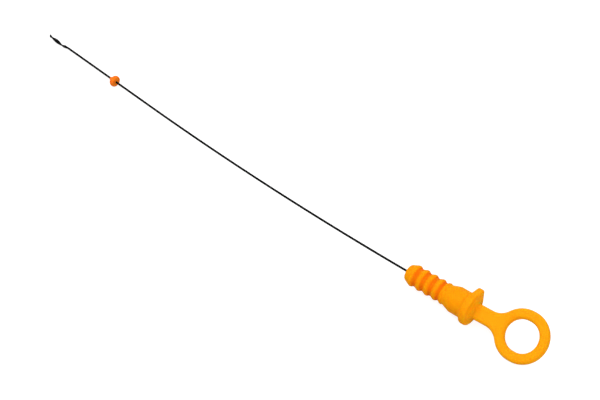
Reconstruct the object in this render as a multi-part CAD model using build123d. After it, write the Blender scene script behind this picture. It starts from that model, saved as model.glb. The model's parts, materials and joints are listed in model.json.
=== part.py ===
"""Engine oil dipstick: an orange moulded handle, a spring-steel wire and a guide bead, lying at rest.

Each piece is drawn along the handle's axis, which is X: the finger ring is at +X, the wire leaves
towards -X, and the middle of the stop flange is the origin. The ring is drawn flat in the XY plane with
the flange's ear towards +Y. At the end everything is rolled, pitched and set down on the floor.
"""
from build123d import *
from math import acos, asin, atan2, cos, degrees, hypot, radians, sin
import os

# Finger ring and neck
finger_hole_diameter = 24.3
ring_width = 7.8
ring_stretch = 1.8
ring_thickness = 7.0
ring_edge_rounding = 3.0
ring_to_flange = 44.4
ring_lean = 1.5
neck_width = 12.3
neck_to_ring_fillet = 14.0
neck_foot_fillet = 2.5

# Stop flange and its ear
flange_diameter = 26.0
flange_thickness = 5.6
flange_edge_rounding = 1.5
ear_reach = 16.0
ear_tip_radius = 2.2

# Body under the flange
flare_diameter = 22.8
flare_length = 2.6
body_diameter = 20.4
body_length = 8.4
body_edge_rounding = 2.0
shoulder_length = 7.0
waist_diameter = 15.7

# Sealing plug: collar, barbed lips and nose
collar_rise_run = 0.9
collar_land = 1.2
collar_fall_run = 1.6
collar_gap = 1.2
lip_count = 4
lip_diameter = 16.9
lip_root_diameter = 14.4
lip_back_run = 2.0
lip_land = 1.0
lip_lead_run = 2.9
lip_gap = 1.25
lip_rounding = 1.0
nose_length = 5.8
nose_front_diameter = 11.8
nose_rounding = 2.2

# Wire
wire_diameter = 1.7
anchor_depth = 28.0
anchor_head_diameter = 3.0
anchor_head_length = 2.0
bow_radius = 2540.0
bow_angle = 5.93
measuring_run = 97.2

# Measuring end: the wire is kinked, rolled flat and twisted
kink_angle = 11.7
kink_length = 6.3
kink_return_angle = 15.3
kink_bend_radius = 2.5
tip_length = 15.4
strip_lead = 1.0
strip_taper_length = 2.4
strip_width = 2.9
strip_thickness = 1.2
strip_first_turn = 92.0
strip_turn_length = 24.5
strip_sections = 20

# Guide bead
bead_diameter = 9.0
bead_front_length = 1.5
bead_front_diameter = 7.8
bead_front_rounding = 0.5
bead_back_length = 3.0
bead_back_diameter = 5.4
bead_collar_diameter = 4.2
bead_collar_end_diameter = 2.4
bead_collar_length = 2.2
bead_from_bow = 41.2

# A rounding takes at most this share of the wall it is on
fullest_rounding = 0.45

ring_outer_diameter = finger_hole_diameter + 2 * ring_width
loop_rounding = min(ring_edge_rounding, fullest_rounding * min(ring_width, ring_thickness))
flange_rounding = min(flange_edge_rounding, fullest_rounding * min(flange_thickness, 2 * ear_tip_radius))
body_start = flange_thickness / 2 + flare_length
shoulder_start = body_start + body_length
waist_start = shoulder_start + shoulder_length
collar_start = waist_start + collar_rise_run
collar_foot = collar_start + collar_land + collar_fall_run
first_lip = collar_foot + collar_gap + lip_back_run
lip_pitch = lip_back_run + lip_land + lip_lead_run + lip_gap
plug_length = first_lip + (lip_count - 1) * lip_pitch + lip_land + nose_length


def finger_loop():
    """The flat oval ring and its neck, cut from one outline, rounded along its edges and leaning to the ear."""
    centre = Pos(ring_to_flange, 0)
    neck = Pos(ring_to_flange / 2, 0) * Rectangle(ring_to_flange, neck_width)
    outline = centre * SlotCenterToCenter(ring_stretch, ring_outer_diameter) + neck
    roots = outline.vertices().filter_by(
        lambda v: v.X > flange_thickness and abs(abs(v.Y) - neck_width / 2) < 0.01)
    outline = fillet(roots, neck_to_ring_fillet)
    outline -= centre * SlotCenterToCenter(ring_stretch, finger_hole_diameter)
    loop = extrude(outline, ring_thickness / 2, both=True)
    faces = loop.faces().sort_by(Axis.Z)
    rims = (faces[0].edges() + faces[-1].edges()).filter_by(lambda e: e.center().X > flange_thickness)
    return Rot(Z=ring_lean) * fillet(rims, loop_rounding)


def stop_flange():
    """The round plate under the ring, drawn out to a blunt ear on one side."""
    disc = Circle(flange_diameter / 2)
    ear = Pos(ear_reach - ear_tip_radius, 0) * Circle(ear_tip_radius)
    outline = make_hull(disc.edges() + ear.edges())
    plate = extrude(Plane.YZ * outline, flange_thickness / 2, both=True)
    faces = plate.faces().sort_by(Axis.X)
    return fillet(faces[0].edges() + faces[-1].edges(), flange_rounding)


def plug():
    """Body, shoulder, collar, barbed lips and nose, turned about the axis from one profile."""
    root = lip_root_diameter / 2
    corners = [
        (flange_thickness / 2, flare_diameter / 2, 0),
        (body_start, body_diameter / 2, body_edge_rounding),
        (shoulder_start, body_diameter / 2, body_edge_rounding),
        (waist_start, waist_diameter / 2, lip_rounding),
        (collar_start, lip_diameter / 2, lip_rounding),
        (collar_start + collar_land, lip_diameter / 2, lip_rounding),
        (collar_foot, root, lip_rounding),
    ]
    for lip in range(lip_count):
        crest = first_lip + lip * lip_pitch
        corners += [
            (crest - lip_back_run, root, lip_rounding),
            (crest, lip_diameter / 2, lip_rounding),
            (crest + lip_land, lip_diameter / 2, lip_rounding),
            (crest + lip_land + lip_lead_run, root, lip_rounding),
        ]
    corners[-1] = (plug_length, nose_front_diameter / 2, nose_rounding)
    points = [(-along, radius) for along, radius, rounding in corners]
    edge = FilletPolyline((0, 0), (0, flare_diameter / 2), *points, (-plug_length, 0),
                          radius=[0] + [rounding for along, radius, rounding in corners])
    profile = make_face(edge + Line((-plug_length, 0), (0, 0)))
    return revolve(profile, Axis.X)


def handle_blank():
    """The whole moulding before the wire's hole: plug, flange and finger loop in one solid."""
    blank = plug() + stop_flange() + finger_loop()
    face = flange_thickness / 2
    foot = blank.edges().filter_by(
        lambda e: abs(e.center().X - face) < 0.01 and hypot(e.center().Y, e.center().Z) < neck_width * 0.7)
    return fillet(foot, neck_foot_fillet)


def heading(angle):
    """Unit vector that starts along -X and turns towards +Y."""
    return Vector(-cos(radians(angle)), sin(radians(angle)), 0)


# Points along the wire's centre line
nose = Vector(-plug_length, 0, 0)
wire_start = nose + Vector(anchor_depth, 0, 0)
bow = JernArc(nose, heading(0), bow_radius, -bow_angle)
bow_end = bow @ 1
bead_middle = bow_end + heading(bow_angle) * bead_from_bow
kink = bow_end + heading(bow_angle) * measuring_run
kink_heading = heading(bow_angle - kink_angle)
taper_start = kink + kink_heading * strip_lead
strip_start = taper_start + kink_heading * strip_taper_length
kink_return = kink + kink_heading * kink_length
wire_tip = kink_return + heading(bow_angle - kink_angle + kink_return_angle) * tip_length


def round_wire():
    """The round wire from its headed end inside the plug to just past the kink."""
    path = (Line(wire_start, nose) + bow
            + FilletPolyline(bow_end, kink, taper_start, radius=kink_bend_radius))
    end = Plane(wire_start, z_dir=heading(0))
    head = extrude(end * Circle(anchor_head_diameter / 2), anchor_head_length)
    return head + sweep(end * Circle(wire_diameter / 2), path)


def flat_section(point, direction, turn):
    """Section of the rolled wire across its path, turned from upright by an angle."""
    across = Plane(point, x_dir=(0, 0, 1), z_dir=direction)
    return across.location * Rot(Z=turn) * SlotOverall(strip_width, strip_thickness)


def measuring_strip():
    """The flattened end, from the round wire's taper through the second kink to the twisted tip."""
    across = Plane(taper_start, x_dir=(0, 0, 1), z_dir=kink_heading)
    taper = loft([across.location * Rot(Z=strip_first_turn) * Circle(wire_diameter / 2),
                  flat_section(strip_start, kink_heading, strip_first_turn)])
    path = FilletPolyline(strip_start, kink_return, wire_tip, radius=kink_bend_radius)
    twist = 360 * path.length / strip_turn_length
    shares = [number / strip_sections for number in range(strip_sections + 1)]
    return taper + loft([flat_section(path @ s, path % s, strip_first_turn + s * twist) for s in shares])


def guide_bead():
    """A crowned barrel with a flat face towards the plug and a short tapered collar towards the tip."""
    front, back = bead_front_diameter / 2, bead_back_diameter / 2
    collar_end = bead_back_length + bead_collar_length
    crown = ThreePointArc((-bead_front_length, front), (0, bead_diameter / 2), (bead_back_length, back))
    ends = Polyline((bead_back_length, back), (bead_back_length, bead_collar_diameter / 2),
                    (collar_end, bead_collar_end_diameter / 2), (collar_end, 0),
                    (-bead_front_length, 0), (-bead_front_length, front))
    barrel = revolve(make_face(crown + ends), Axis.X)
    rim = barrel.edges().sort_by(Axis.X)[0]
    barrel = fillet(rim, bead_front_rounding)
    return Plane(bead_middle, x_dir=heading(bow_angle), z_dir=(0, 0, 1)) * barrel


def resting_pitch():
    """Angle that lifts the ring's end when the flange's edge and the bead both touch the floor."""
    rim = flange_diameter / 2 - flange_rounding
    reach = bead_middle.X + flange_thickness / 2 - flange_rounding
    drop = bead_diameter / 2 - flange_rounding
    return atan2(reach, rim) + acos(drop / hypot(rim, reach))


def resting_roll(pitch):
    """Angle about the axis at which the ring's outer edge touches the floor as well."""
    axis_height = (flange_rounding + (flange_diameter / 2 - flange_rounding) * cos(pitch)
                   + (flange_thickness / 2 - flange_rounding) * sin(pitch))
    ring_height = axis_height + ring_to_flange * cos(radians(ring_lean)) * sin(pitch)
    out = ring_outer_diameter / 2 - loop_rounding - ring_to_flange * sin(radians(ring_lean))
    up = ring_thickness / 2 - loop_rounding
    lean = asin((ring_height - loop_rounding) / hypot(out, up)) - atan2(up, out)
    return acos(cos(lean) / cos(pitch))


pitch = resting_pitch()
roll = resting_roll(pitch)
wire = round_wire() + measuring_strip()
handle = Rot(X=degrees(roll)) * handle_blank() - wire
bead = guide_bead() - wire

nodes = {"handle": handle, "wire": wire, "guide_bead": bead}
laid = {name: Rot(Y=-degrees(pitch)) * piece for name, piece in nodes.items()}
box = Compound([piece.solid() for piece in laid.values()]).bounding_box()
settle = Pos(-box.center().X, -box.center().Y, -box.min.Z)

os.makedirs("parts", exist_ok=True)
for name, piece in laid.items():
    export_step(settle * piece, f"parts/{name}.step")
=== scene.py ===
"""Engine oil dipstick lying on a white bench: moulded orange handle, black wire, moulded guide bead."""
import bmesh
import bpy
import json
import numpy as np
from math import cos, pi, radians, sin, tan
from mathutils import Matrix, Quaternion, Vector


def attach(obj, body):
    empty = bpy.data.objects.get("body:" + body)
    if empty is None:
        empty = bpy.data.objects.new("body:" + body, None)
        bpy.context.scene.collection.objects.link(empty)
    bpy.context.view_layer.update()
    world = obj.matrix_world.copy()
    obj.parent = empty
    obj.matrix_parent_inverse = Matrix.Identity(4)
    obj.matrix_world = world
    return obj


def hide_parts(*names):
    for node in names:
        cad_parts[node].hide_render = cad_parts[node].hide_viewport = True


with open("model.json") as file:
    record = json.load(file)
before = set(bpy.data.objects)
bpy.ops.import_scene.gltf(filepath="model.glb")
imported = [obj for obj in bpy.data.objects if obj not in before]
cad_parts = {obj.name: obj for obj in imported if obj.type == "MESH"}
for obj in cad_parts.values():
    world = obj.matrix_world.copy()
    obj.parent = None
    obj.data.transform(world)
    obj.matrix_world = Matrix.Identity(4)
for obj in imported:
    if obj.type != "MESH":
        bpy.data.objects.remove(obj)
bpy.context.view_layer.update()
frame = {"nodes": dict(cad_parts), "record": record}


# Handle
# One injection moulding in orange plastic: finger ring, neck, stop flange with its ear, body, collar,
# four barbed lips and nose. The spark-eroded mould leaves a fine grain on every face. The colour is
# yellower in the ring than in the plug. Painted shade deepens it in the grooves between the lips.
ring_colour = (0.97, 0.385, 0.004, 1)
plug_colour = (0.97, 0.33, 0.001, 1)
cloud_colour = (0.96, 0.3, 0.001, 1)
# Painted shade: the deeper orange laid into the grooves between the lips stands in for their shade.
groove_shade_colour = (0.87, 0.17, 0.0004, 1)
cloud_strength = 0.3
# The tone turns across the flange so that its ring-side face keeps the paler ring tone: painted light,
# lifting that face.
colour_turns_from = 0.1905
colour_turns_to = 0.1815
groove_depth = 0.00125
groove_shade_from = 0.13
groove_shade_to = 0.9
handle_roughness = 0.6
handle_spread = 0.0035
roughness_play = 0.05
grain_size = 0.00035
grain_depth = 0.00006
grain_strength = 0.12
flow_size = 0.018
plastic_sheen = 0.035
plastic_glow = 0.4
glow_reach = (1.0, 0.1, 0.01)


def finer_moulding(node, name):
    """A copy of a solid's mesh, each facet split in four and bent to follow the solid's normals."""
    mesh = node.data
    places = np.empty(len(mesh.vertices) * 3)
    mesh.vertices.foreach_get("co", places)
    places, merged = np.unique(places.reshape(-1, 3).round(7), axis=0, return_inverse=True)
    corners = np.empty(len(mesh.loops), int)
    mesh.loops.foreach_get("vertex_index", corners)
    corners = merged.ravel()[corners].reshape(-1, 3)
    normals = np.empty(len(mesh.loops) * 3)
    mesh.corner_normals.foreach_get("vector", normals)
    normals = normals.reshape(-1, 3, 3)
    whole = np.array([len(set(facet)) == 3 for facet in corners.tolist()])
    corners, normals = corners[whole], normals[whole]

    following = np.roll(corners, -1, axis=1)
    next_normals = np.roll(normals, -1, axis=1)
    middles = (places[corners] + places[following]) / 2
    rise = ((places[corners] - middles) * normals).sum(-1, keepdims=True) * normals
    next_rise = ((places[following] - middles) * next_normals).sum(-1, keepdims=True) * next_normals
    bent = (middles + (rise + next_rise) / 4).reshape(-1, 3)
    edges = np.sort(np.stack([corners, following], -1), axis=-1).reshape(-1, 2)
    edges, edge_of = np.unique(edges, axis=0, return_inverse=True)
    edge_of = edge_of.ravel()
    share = np.bincount(edge_of)
    split = np.stack([np.bincount(edge_of, bent[:, i]) / share for i in range(3)], 1)

    a, b, c = corners.T
    ab, bc, ca = (len(places) + edge_of.reshape(-1, 3)).T
    facets = np.stack([a, ab, ca, ab, b, bc, ca, bc, c, ab, bc, ca], 1).reshape(-1, 3)
    between = normals + next_normals
    between /= np.linalg.norm(between, axis=-1, keepdims=True)
    na, nb, nc = normals.transpose(1, 0, 2)
    nab, nbc, nca = between.transpose(1, 0, 2)
    facet_normals = np.stack([na, nab, nca, nab, nb, nbc, nca, nbc, nc, nab, nbc, nca], 1)

    finer = bpy.data.meshes.new(name)
    finer.from_pydata(np.vstack([places, split]).tolist(), [], facets.tolist())
    finer.shade_smooth()
    finer.normals_split_custom_set(facet_normals.reshape(-1, 3).tolist())
    piece = bpy.data.objects.new(name, finer)
    bpy.context.scene.collection.objects.link(piece)
    return piece


def node_in(tree, kind, inputs=(), **settings):
    """A new node in a tree, its options set, its sockets fed with values or other nodes' outputs."""
    node = tree.nodes.new(kind)
    for option, value in settings.items():
        setattr(node, option, value)
    for socket, value in dict(inputs).items():
        if isinstance(value, bpy.types.NodeSocket):
            tree.links.new(value, node.inputs[socket])
        else:
            node.inputs[socket].default_value = value
    return node


def reckon(tree, operation, *terms):
    """The result of one sum on numbers, done by a math node."""
    return node_in(tree, "ShaderNodeMath", dict(enumerate(terms)), operation=operation).outputs[0]


def new_group(name, kind, inputs, outputs):
    """An empty node group with named sockets, and its input and output nodes."""
    group = bpy.data.node_groups.new(name, kind)
    for label, socket in inputs:
        group.interface.new_socket(label, in_out="INPUT", socket_type=socket)
    for label, socket in outputs:
        group.interface.new_socket(label, in_out="OUTPUT", socket_type=socket)
    return group, group.nodes.new("NodeGroupInput"), group.nodes.new("NodeGroupOutput")


def make_mould_grain():
    """Grain of a spark-eroded mould: a height for bump, and a slow flow for roughness and colour."""
    group, given, result = new_group(
        "mould_grain", "ShaderNodeTree",
        [("Grain Size", "NodeSocketFloat"), ("Flow Size", "NodeSocketFloat")],
        [("Height", "NodeSocketFloat"), ("Flow", "NodeSocketFloat")])
    place = node_in(group, "ShaderNodeTexCoord").outputs["Object"]
    grain = node_in(group, "ShaderNodeTexNoise", {
        "Vector": place, "Scale": reckon(group, "DIVIDE", 1.0, given.outputs["Grain Size"]),
        "Detail": 3.0, "Roughness": 0.6})
    flow = node_in(group, "ShaderNodeTexNoise", {
        "Vector": place, "Scale": reckon(group, "DIVIDE", 1.0, given.outputs["Flow Size"]),
        "Detail": 2.0, "Distortion": 0.6})
    group.links.new(grain.outputs["Fac"], result.inputs["Height"])
    group.links.new(flow.outputs["Fac"], result.inputs["Flow"])
    return group


mould_grain = make_mould_grain()


def two_tone(tree, factor, first, second):
    """Colour that runs from one tone to another as a factor rises from 0 to 1."""
    mixed = node_in(tree, "ShaderNodeMix", {0: factor, 6: first, 7: second}, data_type="RGBA")
    return mixed.outputs[2]


def satin_plastic(name, roughness, spread):
    """Moulded plastic with the mould's grain. Red light spreads inside it and warms its shaded sides."""
    material = bpy.data.materials.new(name)
    material.use_nodes = True
    tree = material.node_tree
    shader = tree.nodes["Principled BSDF"]
    grain = node_in(tree, "ShaderNodeGroup", {"Grain Size": grain_size, "Flow Size": flow_size},
                    node_tree=mould_grain)
    gloss = node_in(tree, "ShaderNodeMapRange", {
        "Value": grain.outputs["Flow"],
        "To Min": roughness - roughness_play, "To Max": roughness + roughness_play})
    bump = node_in(tree, "ShaderNodeBump", {
        "Height": grain.outputs["Height"], "Strength": grain_strength, "Distance": grain_depth})
    tree.links.new(gloss.outputs[0], shader.inputs["Roughness"])
    tree.links.new(bump.outputs[0], shader.inputs["Normal"])
    shader.inputs["Specular IOR Level"].default_value = plastic_sheen
    shader.inputs["Subsurface Weight"].default_value = plastic_glow
    shader.inputs["Subsurface Radius"].default_value = glow_reach
    shader.inputs["Subsurface Scale"].default_value = spread
    return material, shader, grain.outputs["Flow"]


def make_groove_shade_mask():
    """Mask for the painted shade in the grooves between the lips: 1 at their roots, 0 on the crests and
    past the end ones.
    """
    group, given, result = new_group(
        "groove_shade_mask", "ShaderNodeTree",
        [("Middle", "NodeSocketVector"), ("Axis", "NodeSocketVector"), ("Length", "NodeSocketFloat"),
         ("Crest Radius", "NodeSocketFloat"), ("Depth", "NodeSocketFloat")],
        [("Groove", "NodeSocketFloat")])
    place = node_in(group, "ShaderNodeTexCoord").outputs["Object"]
    offset = node_in(group, "ShaderNodeVectorMath", {0: place, 1: given.outputs["Middle"]},
                     operation="SUBTRACT").outputs[0]
    along = node_in(group, "ShaderNodeVectorMath", {0: offset, 1: given.outputs["Axis"]},
                    operation="DOT_PRODUCT").outputs["Value"]
    out = node_in(group, "ShaderNodeVectorMath", {0: offset, 1: given.outputs["Axis"]},
                  operation="CROSS_PRODUCT").outputs[0]
    radius = node_in(group, "ShaderNodeVectorMath", {0: out}, operation="LENGTH").outputs["Value"]
    sunk = reckon(group, "DIVIDE", reckon(group, "SUBTRACT", given.outputs["Crest Radius"], radius),
                  given.outputs["Depth"])
    between = reckon(group, "LESS_THAN", reckon(group, "ABSOLUTE", along),
                     reckon(group, "DIVIDE", given.outputs["Length"], 2.0))
    wall = node_in(group, "ShaderNodeMapRange", {
        "Value": sunk, "From Min": groove_shade_from, "From Max": groove_shade_to},
        interpolation_type="SMOOTHSTEP").outputs[0]
    group.links.new(reckon(group, "MULTIPLY", wall, between), result.inputs["Groove"])
    return group


lips_mount = next(mount for mount in frame["record"]["mounts"] if mount["name"] == "sealing_lips")
plug_axis = Vector(lips_mount["axis"]).normalized()
lips_middle = Vector(lips_mount["pos_m"])
lips_length = lips_mount["dims"]["length_mm"] / 1000
lips_radius = lips_mount["dims"]["r_mm"] / 1000


def handle_finish():
    """Orange that turns from the ring's yellower tone to the plug's, with painted shade deepening it in
    the grooves.
    """
    material, shader, flow = satin_plastic("orange_plastic", handle_roughness, handle_spread)
    tree = material.node_tree
    place = node_in(tree, "ShaderNodeTexCoord").outputs["Object"]
    along = node_in(tree, "ShaderNodeSeparateXYZ", {0: place}).outputs["X"]
    to_plug = node_in(tree, "ShaderNodeMapRange", {
        "Value": along, "From Min": colour_turns_from, "From Max": colour_turns_to},
        interpolation_type="SMOOTHSTEP").outputs[0]
    body_tone = two_tone(tree, to_plug, ring_colour, plug_colour)
    clouded = two_tone(tree, reckon(tree, "MULTIPLY", flow, cloud_strength), body_tone, cloud_colour)
    # Painted shade: the grooves between the lips take the deeper orange.
    grooves = node_in(tree, "ShaderNodeGroup", {
        "Middle": lips_middle, "Axis": plug_axis, "Length": lips_length,
        "Crest Radius": lips_radius, "Depth": groove_depth}, node_tree=make_groove_shade_mask())
    groove_shaded = two_tone(tree, grooves.outputs["Groove"], clouded, groove_shade_colour)
    tree.links.new(groove_shaded, shader.inputs["Base Color"])
    return material


handle_plastic = handle_finish()
handle = finer_moulding(frame["nodes"]["handle"], "handle_moulding")
handle.data.materials.append(handle_plastic)
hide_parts("handle")
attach(handle, "root")


# Mould seam
# The two halves of the handle's mould meet in the plane of the ring, and leave a fine raised line all
# round the moulding, in the same plastic. It stops at the hole that the wire comes out of. Where the
# part lies at rest, the ring is rolled by this angle from level.
bow_side = Vector((0, 1, 0))
level_up = bow_side.cross(plug_axis)
ring_roll = radians(42.717)
ring_normal = level_up * cos(ring_roll) - bow_side * sin(ring_roll)
seam_width = 0.00014
seam_step = 0.0003
seam_sides = 6
wire_hole_clearance = 0.0017
cut_tolerance = 1e-7


def seam_path(piece, name, on_plane, normal, clear_of):
    """Edges where a plane cuts a moulding's skin, without those close round the wire inside it."""
    cut = bmesh.new()
    cut.from_mesh(piece.data)
    found = bmesh.ops.bisect_plane(cut, geom=cut.verts[:] + cut.edges[:] + cut.faces[:],
                                   dist=cut_tolerance, plane_co=on_plane, plane_no=normal)["geom_cut"]

    def near_wire(edge):
        return any((end.co - on_plane).cross(clear_of).length < wire_hole_clearance
                   for end in edge.verts)

    line = {part for part in found if isinstance(part, bmesh.types.BMEdge) and not near_wire(part)}
    bmesh.ops.delete(cut, geom=[edge for edge in cut.edges if edge not in line], context="EDGES")
    mesh = bpy.data.meshes.new(name)
    cut.to_mesh(mesh)
    cut.free()
    seam = bpy.data.objects.new(name, mesh)
    bpy.context.scene.collection.objects.link(seam)
    return seam


def make_mould_seam():
    """Tree that lays a fine round bead of plastic along a path."""
    tree, given, result = new_group(
        "mould_seam", "GeometryNodeTree",
        [("Path", "NodeSocketGeometry"), ("Width", "NodeSocketFloat"), ("Step", "NodeSocketFloat"),
         ("Sides", "NodeSocketInt"), ("Finish", "NodeSocketMaterial")],
        [("Seam", "NodeSocketGeometry")])
    line = node_in(tree, "GeometryNodeMeshToCurve", {"Mesh": given.outputs["Path"]})
    even = node_in(tree, "GeometryNodeResampleCurve", {
        "Curve": line.outputs[0], "Length": given.outputs["Step"]}, mode="LENGTH")
    radius = reckon(tree, "DIVIDE", given.outputs["Width"], 2.0)
    section = node_in(tree, "GeometryNodeCurvePrimitiveCircle", {
        "Resolution": given.outputs["Sides"], "Radius": radius})
    swept = node_in(tree, "GeometryNodeCurveToMesh", {
        "Curve": even.outputs[0], "Profile Curve": section.outputs[0], "Fill Caps": True})
    whole = node_in(tree, "GeometryNodeRealizeInstances", {"Geometry": swept.outputs[0]})
    coated = node_in(tree, "GeometryNodeSetMaterial", {
        "Geometry": whole.outputs[0], "Material": given.outputs["Finish"]})
    tree.links.new(coated.outputs[0], result.inputs["Seam"])
    return tree


mould_seam = make_mould_seam()


def grow(base, tree, values):
    """Runs a geometry tree on an object and keeps the result as its plain mesh."""
    modifier = base.modifiers.new(tree.name, "NODES")
    modifier.node_group = tree
    for socket in tree.interface.items_tree:
        if socket.in_out == "INPUT" and socket.name in values:
            modifier[socket.identifier] = values[socket.name]
    evaluated = base.evaluated_get(bpy.context.evaluated_depsgraph_get())
    made = bpy.data.meshes.new_from_object(evaluated)
    base.modifiers.clear()
    rough = base.data
    base.data = made
    bpy.data.meshes.remove(rough)
    made.name = base.name


handle_seam = seam_path(handle, "handle_seam", lips_middle, ring_normal, plug_axis)
grow(handle_seam, mould_seam, {"Width": seam_width, "Step": seam_step, "Sides": seam_sides,
                               "Finish": handle_plastic})
handle_seam.data.shade_smooth()
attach(handle_seam, "root")


# Wire
# Spring-steel wire, drawn and blackened, its headed end moulded into the plug. It leaves the nose along
# the plug's axis, bows gently and runs straight through the guide bead. Its last stretch is kinked,
# rolled flat and twisted, which is where the oil level is read.
lips_to_nose = 0.019979
anchor_depth = 0.028
bow_radius = 2.54
bow_angle = radians(5.93)
measuring_run = 0.0972
kink_angle = radians(11.7)
kink_length = 0.0063
kink_return_angle = radians(15.3)
kink_bend_radius = 0.0025
tip_length = 0.0154
strip_lead = 0.001
wire_sizes = {
    "Wire Diameter": 0.0017,
    "Head Diameter": 0.003,
    "Head Length": 0.002,
    "Strip Width": 0.0029,
    "Strip Thickness": 0.0012,
    "Taper Start": (anchor_depth + bow_radius * bow_angle + measuring_run
                    - kink_bend_radius * (2 * tan(kink_angle / 2) - kink_angle) + strip_lead),
    "Taper Length": 0.0024,
    "First Turn": radians(92),
    "Turn Length": 0.0245,
    "Step": 0.0004,
}
wire_sides = 24
bend_facets = 48
wire_black = (0.0018, 0.0018, 0.002, 1)
wire_grey = (0.0045, 0.0045, 0.0048, 1)
wire_roughness = (0.42, 0.62)
wire_sheen = 0.02
streaks_round = 7
streaks_along = 90
streak_depth = 0.00003
streak_strength = 0.2
sharp_edge = radians(50)


def heading(angle):
    """Direction that starts along the plug's axis and turns towards the bow's side."""
    return plug_axis * cos(angle) + bow_side * sin(angle)


nose = lips_middle + plug_axis * lips_to_nose
bow_reach = bow_radius * tan(bow_angle / 2)
bow_corner = nose + plug_axis * bow_reach
bow_end = bow_corner + heading(bow_angle) * bow_reach
kink = bow_end + heading(bow_angle) * measuring_run
kink_return = kink + heading(bow_angle - kink_angle) * kink_length
tip = kink_return + heading(bow_angle - kink_angle + kink_return_angle) * tip_length
wire_path = [(nose - plug_axis * anchor_depth, 0), (bow_corner, bow_radius), (kink, kink_bend_radius),
             (kink_return, kink_bend_radius), (tip, 0)]


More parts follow.
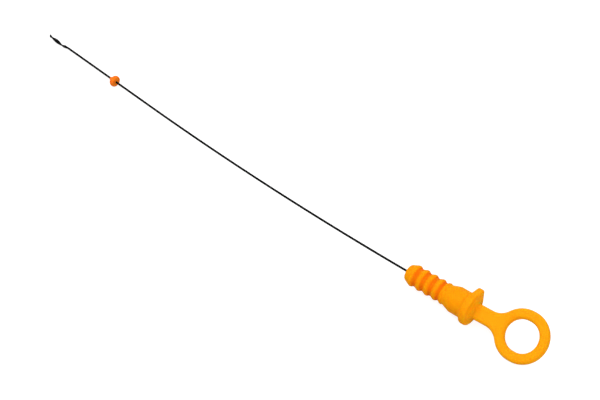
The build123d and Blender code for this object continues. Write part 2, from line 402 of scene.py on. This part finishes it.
def make_drawn_wire():
    """Tree that sweeps a wire along a bent path, headed at one end, flat and twisted at the other."""
    tree, given, result = new_group(
        "drawn_wire", "GeometryNodeTree",
        [("Path", "NodeSocketGeometry")] + [(size, "NodeSocketFloat") for size in wire_sizes]
        + [("Upright", "NodeSocketVector"), ("Finish", "NodeSocketMaterial")],
        [("Wire", "NodeSocketGeometry")])

    def vector(operation, *terms):
        sum_node = node_in(tree, "ShaderNodeVectorMath", dict(enumerate(terms)), operation=operation)
        return sum_node.outputs[0]

    def along(direction, amount):
        return node_in(tree, "ShaderNodeVectorMath", {0: direction, "Scale": amount},
                       operation="SCALE").outputs[0]

    def kept(name, kind):
        named = node_in(tree, "GeometryNodeInputNamedAttribute", {"Name": name}, data_type=kind)
        return named.outputs[0]

    def keep(geometry, name, kind, value):
        stored = node_in(tree, "GeometryNodeStoreNamedAttribute", {
            "Geometry": geometry, "Name": name, "Value": value}, data_type=kind, domain="POINT")
        return stored.outputs[0]

    # The path, with its corners rounded, carries its own place, direction and run
    cornered = node_in(tree, "GeometryNodeMeshToCurve", {"Mesh": given.outputs["Path"]})
    bent = node_in(tree, "GeometryNodeFilletCurve", {
        "Curve": cornered.outputs[0], "Radius": kept("bend_radius", "FLOAT"), "Count": bend_facets},
        mode="POLY")
    rail = node_in(tree, "GeometryNodeResampleCurve", {
        "Curve": bent.outputs[0], "Length": given.outputs["Step"]}, mode="LENGTH").outputs[0]
    rail = keep(rail, "centre", "FLOAT_VECTOR", node_in(tree, "GeometryNodeInputPosition").outputs[0])
    rail = keep(rail, "heading", "FLOAT_VECTOR", node_in(tree, "GeometryNodeInputTangent").outputs[0])
    rail = keep(rail, "run", "FLOAT", node_in(tree, "GeometryNodeSplineParameter").outputs["Length"])

    # The round section starts half a side off its axes, so that it parts evenly into a slot
    ring = node_in(tree, "GeometryNodeCurvePrimitiveCircle", {"Resolution": wire_sides, "Radius": 1.0})
    turned = node_in(tree, "GeometryNodeTransform", {
        "Geometry": ring.outputs[0], "Rotation": (0, 0, pi / wire_sides)})
    section = keep(turned.outputs[0], "on_round", "FLOAT_VECTOR",
                   node_in(tree, "GeometryNodeInputPosition").outputs[0])
    swept = node_in(tree, "GeometryNodeCurveToMesh", {
        "Curve": rail, "Profile Curve": section, "Fill Caps": True}).outputs[0]

    # Round radius, with the anchor's head, and how far the section has flattened
    run = kept("run", "FLOAT")
    on_round = kept("on_round", "FLOAT_VECTOR")
    round_x, round_y, _ = node_in(tree, "ShaderNodeSeparateXYZ", {0: on_round}).outputs
    in_head = reckon(tree, "LESS_THAN", run, given.outputs["Head Length"])
    extra = reckon(tree, "SUBTRACT", given.outputs["Head Diameter"], given.outputs["Wire Diameter"])
    diameter = reckon(tree, "MULTIPLY_ADD", in_head, extra, given.outputs["Wire Diameter"])
    radius = reckon(tree, "DIVIDE", diameter, 2.0)
    taper_end = reckon(tree, "ADD", given.outputs["Taper Start"], given.outputs["Taper Length"])
    flatness = node_in(tree, "ShaderNodeMapRange", {
        "Value": run, "From Min": given.outputs["Taper Start"], "From Max": taper_end}).outputs[0]
    half_thickness = reckon(tree, "DIVIDE", given.outputs["Strip Thickness"], 2.0)
    half_width = reckon(tree, "DIVIDE", given.outputs["Strip Width"], 2.0)
    half_flat = reckon(tree, "SUBTRACT", half_width, half_thickness)
    flat_x = reckon(tree, "MULTIPLY_ADD", reckon(tree, "SIGN", round_x), half_flat,
                    reckon(tree, "MULTIPLY", round_x, half_thickness))
    flat_y = reckon(tree, "MULTIPLY", round_y, half_thickness)

    def flattened(round_part, flat_part):
        return node_in(tree, "ShaderNodeMix", {
            0: flatness, 2: reckon(tree, "MULTIPLY", round_part, radius), 3: flat_part}).outputs[0]

    # The section's own axes: upright and across, turned about the wire past the taper
    direction = kept("heading", "FLOAT_VECTOR")
    lean = node_in(tree, "ShaderNodeVectorMath", {0: given.outputs["Upright"], 1: direction},
                   operation="DOT_PRODUCT").outputs["Value"]
    upright = vector("NORMALIZE", vector("SUBTRACT", given.outputs["Upright"], along(direction, lean)))
    across = vector("CROSS_PRODUCT", direction, upright)
    past = reckon(tree, "MAXIMUM", reckon(tree, "SUBTRACT", run, taper_end), 0.0)
    turns = reckon(tree, "DIVIDE", past, given.outputs["Turn Length"])
    turn = reckon(tree, "MULTIPLY_ADD", turns, 2 * pi, given.outputs["First Turn"])
    cosine, sine = reckon(tree, "COSINE", turn), reckon(tree, "SINE", turn)
    x, y = flattened(round_x, flat_x), flattened(round_y, flat_y)
    up_part = reckon(tree, "SUBTRACT", reckon(tree, "MULTIPLY", x, cosine),
                     reckon(tree, "MULTIPLY", y, sine))
    across_part = reckon(tree, "ADD", reckon(tree, "MULTIPLY", x, sine),
                         reckon(tree, "MULTIPLY", y, cosine))
    offset = vector("ADD", along(upright, up_part), along(across, across_part))
    placed = node_in(tree, "GeometryNodeSetPosition", {
        "Geometry": swept, "Position": vector("ADD", kept("centre", "FLOAT_VECTOR"), offset)}).outputs[0]

    # The drawing marks follow the wire: where a point is on the round, and how far along
    drawn = node_in(tree, "ShaderNodeCombineXYZ", {0: round_x, 1: round_y, 2: run}).outputs[0]
    made = keep(placed, "drawn", "FLOAT_VECTOR", drawn)
    for helper in ("centre", "heading", "run", "on_round", "bend_radius"):
        made = node_in(tree, "GeometryNodeRemoveAttribute", {
            "Geometry": made, "Name": helper}).outputs[0]
    whole = node_in(tree, "GeometryNodeRealizeInstances", {"Geometry": made})
    coated = node_in(tree, "GeometryNodeSetMaterial", {
        "Geometry": whole.outputs[0], "Material": given.outputs["Finish"]})
    tree.links.new(coated.outputs[0], result.inputs["Wire"])
    return tree


def wire_finish():
    """Blackened drawn steel, with fine streaks along the wire."""
    material = bpy.data.materials.new("blackened_steel")
    material.use_nodes = True
    tree = material.node_tree
    shader = tree.nodes["Principled BSDF"]
    marks = node_in(tree, "ShaderNodeAttribute", attribute_name="drawn")
    drawn_out = node_in(tree, "ShaderNodeMapping", {
        "Vector": marks.outputs["Vector"], "Scale": (streaks_round, streaks_round, streaks_along)})
    streaks = node_in(tree, "ShaderNodeTexNoise", {
        "Vector": drawn_out.outputs[0], "Scale": 1.0, "Detail": 4.0}).outputs["Fac"]
    gloss = node_in(tree, "ShaderNodeMapRange", {
        "Value": streaks, "To Min": wire_roughness[0], "To Max": wire_roughness[1]})
    bump = node_in(tree, "ShaderNodeBump", {
        "Height": streaks, "Strength": streak_strength, "Distance": streak_depth})
    tree.links.new(two_tone(tree, streaks, wire_black, wire_grey), shader.inputs["Base Color"])
    tree.links.new(gloss.outputs[0], shader.inputs["Roughness"])
    tree.links.new(bump.outputs[0], shader.inputs["Normal"])
    shader.inputs["Specular IOR Level"].default_value = wire_sheen
    return material


path_mesh = bpy.data.meshes.new("measuring_wire")
path_mesh.from_pydata([point for point, bend in wire_path],
                      [(i, i + 1) for i in range(len(wire_path) - 1)], [])
path_bends = path_mesh.attributes.new("bend_radius", "FLOAT", "POINT")
path_bends.data.foreach_set("value", [bend for point, bend in wire_path])
wire = bpy.data.objects.new("measuring_wire", path_mesh)
bpy.context.scene.collection.objects.link(wire)
grow(wire, make_drawn_wire(), {**wire_sizes, "Upright": tuple(level_up), "Finish": wire_finish()})
wire.data.shade_smooth()
wire.data.set_sharp_from_angle(angle=sharp_edge)
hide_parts("wire")
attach(wire, "root")


# Guide bead
# A small barrel moulded on the wire in a redder orange, flat towards the plug and drawn out to a short
# tapered collar towards the tip. It keeps the wire in the middle of the dipstick tube.
bead_colour = (0.92, 0.215, 0.012, 1)
bead_deep_colour = (0.89, 0.18, 0.009, 1)
bead_roughness = 0.55
bead_spread = 0.0015
bead_plastic, bead_shader, bead_flow = satin_plastic("red_orange_plastic", bead_roughness, bead_spread)
bead_tree = bead_plastic.node_tree
bead_tone = two_tone(bead_tree, bead_flow, bead_colour, bead_deep_colour)
bead_tree.links.new(bead_tone, bead_shader.inputs["Base Color"])
bead = finer_moulding(frame["nodes"]["guide_bead"], "guide_bead_moulding")
bead.data.materials.append(bead_plastic)
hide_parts("guide_bead")
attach(bead, "root")


# Bench and light
# A wide pale bench top in an even white surround, under soft lamps over the wire and the ring and a
# weaker one behind. The bench shows white to the camera and still takes the part's shadow.
bench_half = 6.0
bench_bounce = (0.5, 0.5, 0.5, 1)
bench_grey = (0.35, 0.35, 0.35, 1)
bench_lift = 0.83
bench_roughness = 0.9
surround_light = 0.5
lamps = [
    ("lamp_over_wire", Vector((-0.4, -0.35, 0.84)), 27),
    ("lamp_over_ring", Vector((0.9, -0.4, 0.5)), 17),
    ("lamp_behind_bow", Vector((-0.2, 0.9, 0.5)), 8),
]
lamp_width = 1.4
lamp_distance = 2.2
bench_mesh = bpy.data.meshes.new("bench")
bench_mesh.from_pydata([(-bench_half, -bench_half, 0), (bench_half, -bench_half, 0),
                        (bench_half, bench_half, 0), (-bench_half, bench_half, 0)], [], [(0, 1, 2, 3)])
bench = bpy.data.objects.new("bench", bench_mesh)
bpy.context.scene.collection.objects.link(bench)


def seen_directly(tree):
    """1 for rays from the camera, by reflection or through glass, and 0 for those that carry light."""
    path = node_in(tree, "ShaderNodeLightPath").outputs
    seen = reckon(tree, "MAXIMUM", path["Is Camera Ray"], path["Is Glossy Ray"])
    return reckon(tree, "MAXIMUM", seen, path["Is Transmission Ray"])


bench_white = bpy.data.materials.new("bench_white")
bench_white.use_nodes = True
bench_tree = bench_white.node_tree
bench_shader = bench_tree.nodes["Principled BSDF"]
bench_shader.inputs["Roughness"].default_value = bench_roughness
bench_shader.inputs["Specular IOR Level"].default_value = 0.0
bench_shader.inputs["Emission Color"].default_value = (1, 1, 1, 1)
bench_seen = seen_directly(bench_tree)
bench_tone = two_tone(bench_tree, bench_seen, bench_bounce, bench_grey)
bench_glow = reckon(bench_tree, "MULTIPLY", bench_seen, bench_lift)
bench_tree.links.new(bench_tone, bench_shader.inputs["Base Color"])
bench_tree.links.new(bench_glow, bench_shader.inputs["Emission Strength"])
bench_mesh.materials.append(bench_white)

surround = bpy.data.worlds.new("surround")
bpy.context.scene.world = surround
surround.use_nodes = True
sky = surround.node_tree
sky_strength = node_in(sky, "ShaderNodeMapRange", {
    "Value": seen_directly(sky), "To Min": surround_light, "To Max": 1.0})
sky.nodes["Background"].inputs["Color"].default_value = (1, 1, 1, 1)
sky.links.new(sky_strength.outputs[0], sky.nodes["Background"].inputs["Strength"])

for name, direction, power in lamps:
    lamp = bpy.data.lights.new(name, "AREA")
    lamp.shape = "DISK"
    lamp.size = lamp_width
    lamp.energy = power
    lamp_object = bpy.data.objects.new(name, lamp)
    bpy.context.scene.collection.objects.link(lamp_object)
    lamp_object.location = direction.normalized() * lamp_distance
    lamp_object.rotation_mode = "QUATERNION"
    lamp_object.rotation_quaternion = (-direction).to_track_quat("-Z", "Y")


# Camera
# A long lens looks down on the ring almost square to it, rolled a little so that the wire rises to the
# left.
camera_place = Vector((0.716, -1.04662, 1.15096))
camera_aim = Vector((0.01665, 0.01036, 0))
camera_roll = radians(7.2511)
camera = bpy.data.cameras.new("camera")
camera.lens = 135
camera.sensor_width = 36
camera_object = bpy.data.objects.new("camera", camera)
bpy.context.scene.collection.objects.link(camera_object)
camera_object.location = camera_place
camera_object.rotation_mode = "QUATERNION"
camera_object.rotation_quaternion = ((camera_aim - camera_place).to_track_quat("-Z", "Y")
                                     @ Quaternion((0, 0, 1), camera_roll))
bpy.context.scene.camera = camera_object
bpy.context.scene.view_settings.view_transform = "Standard"
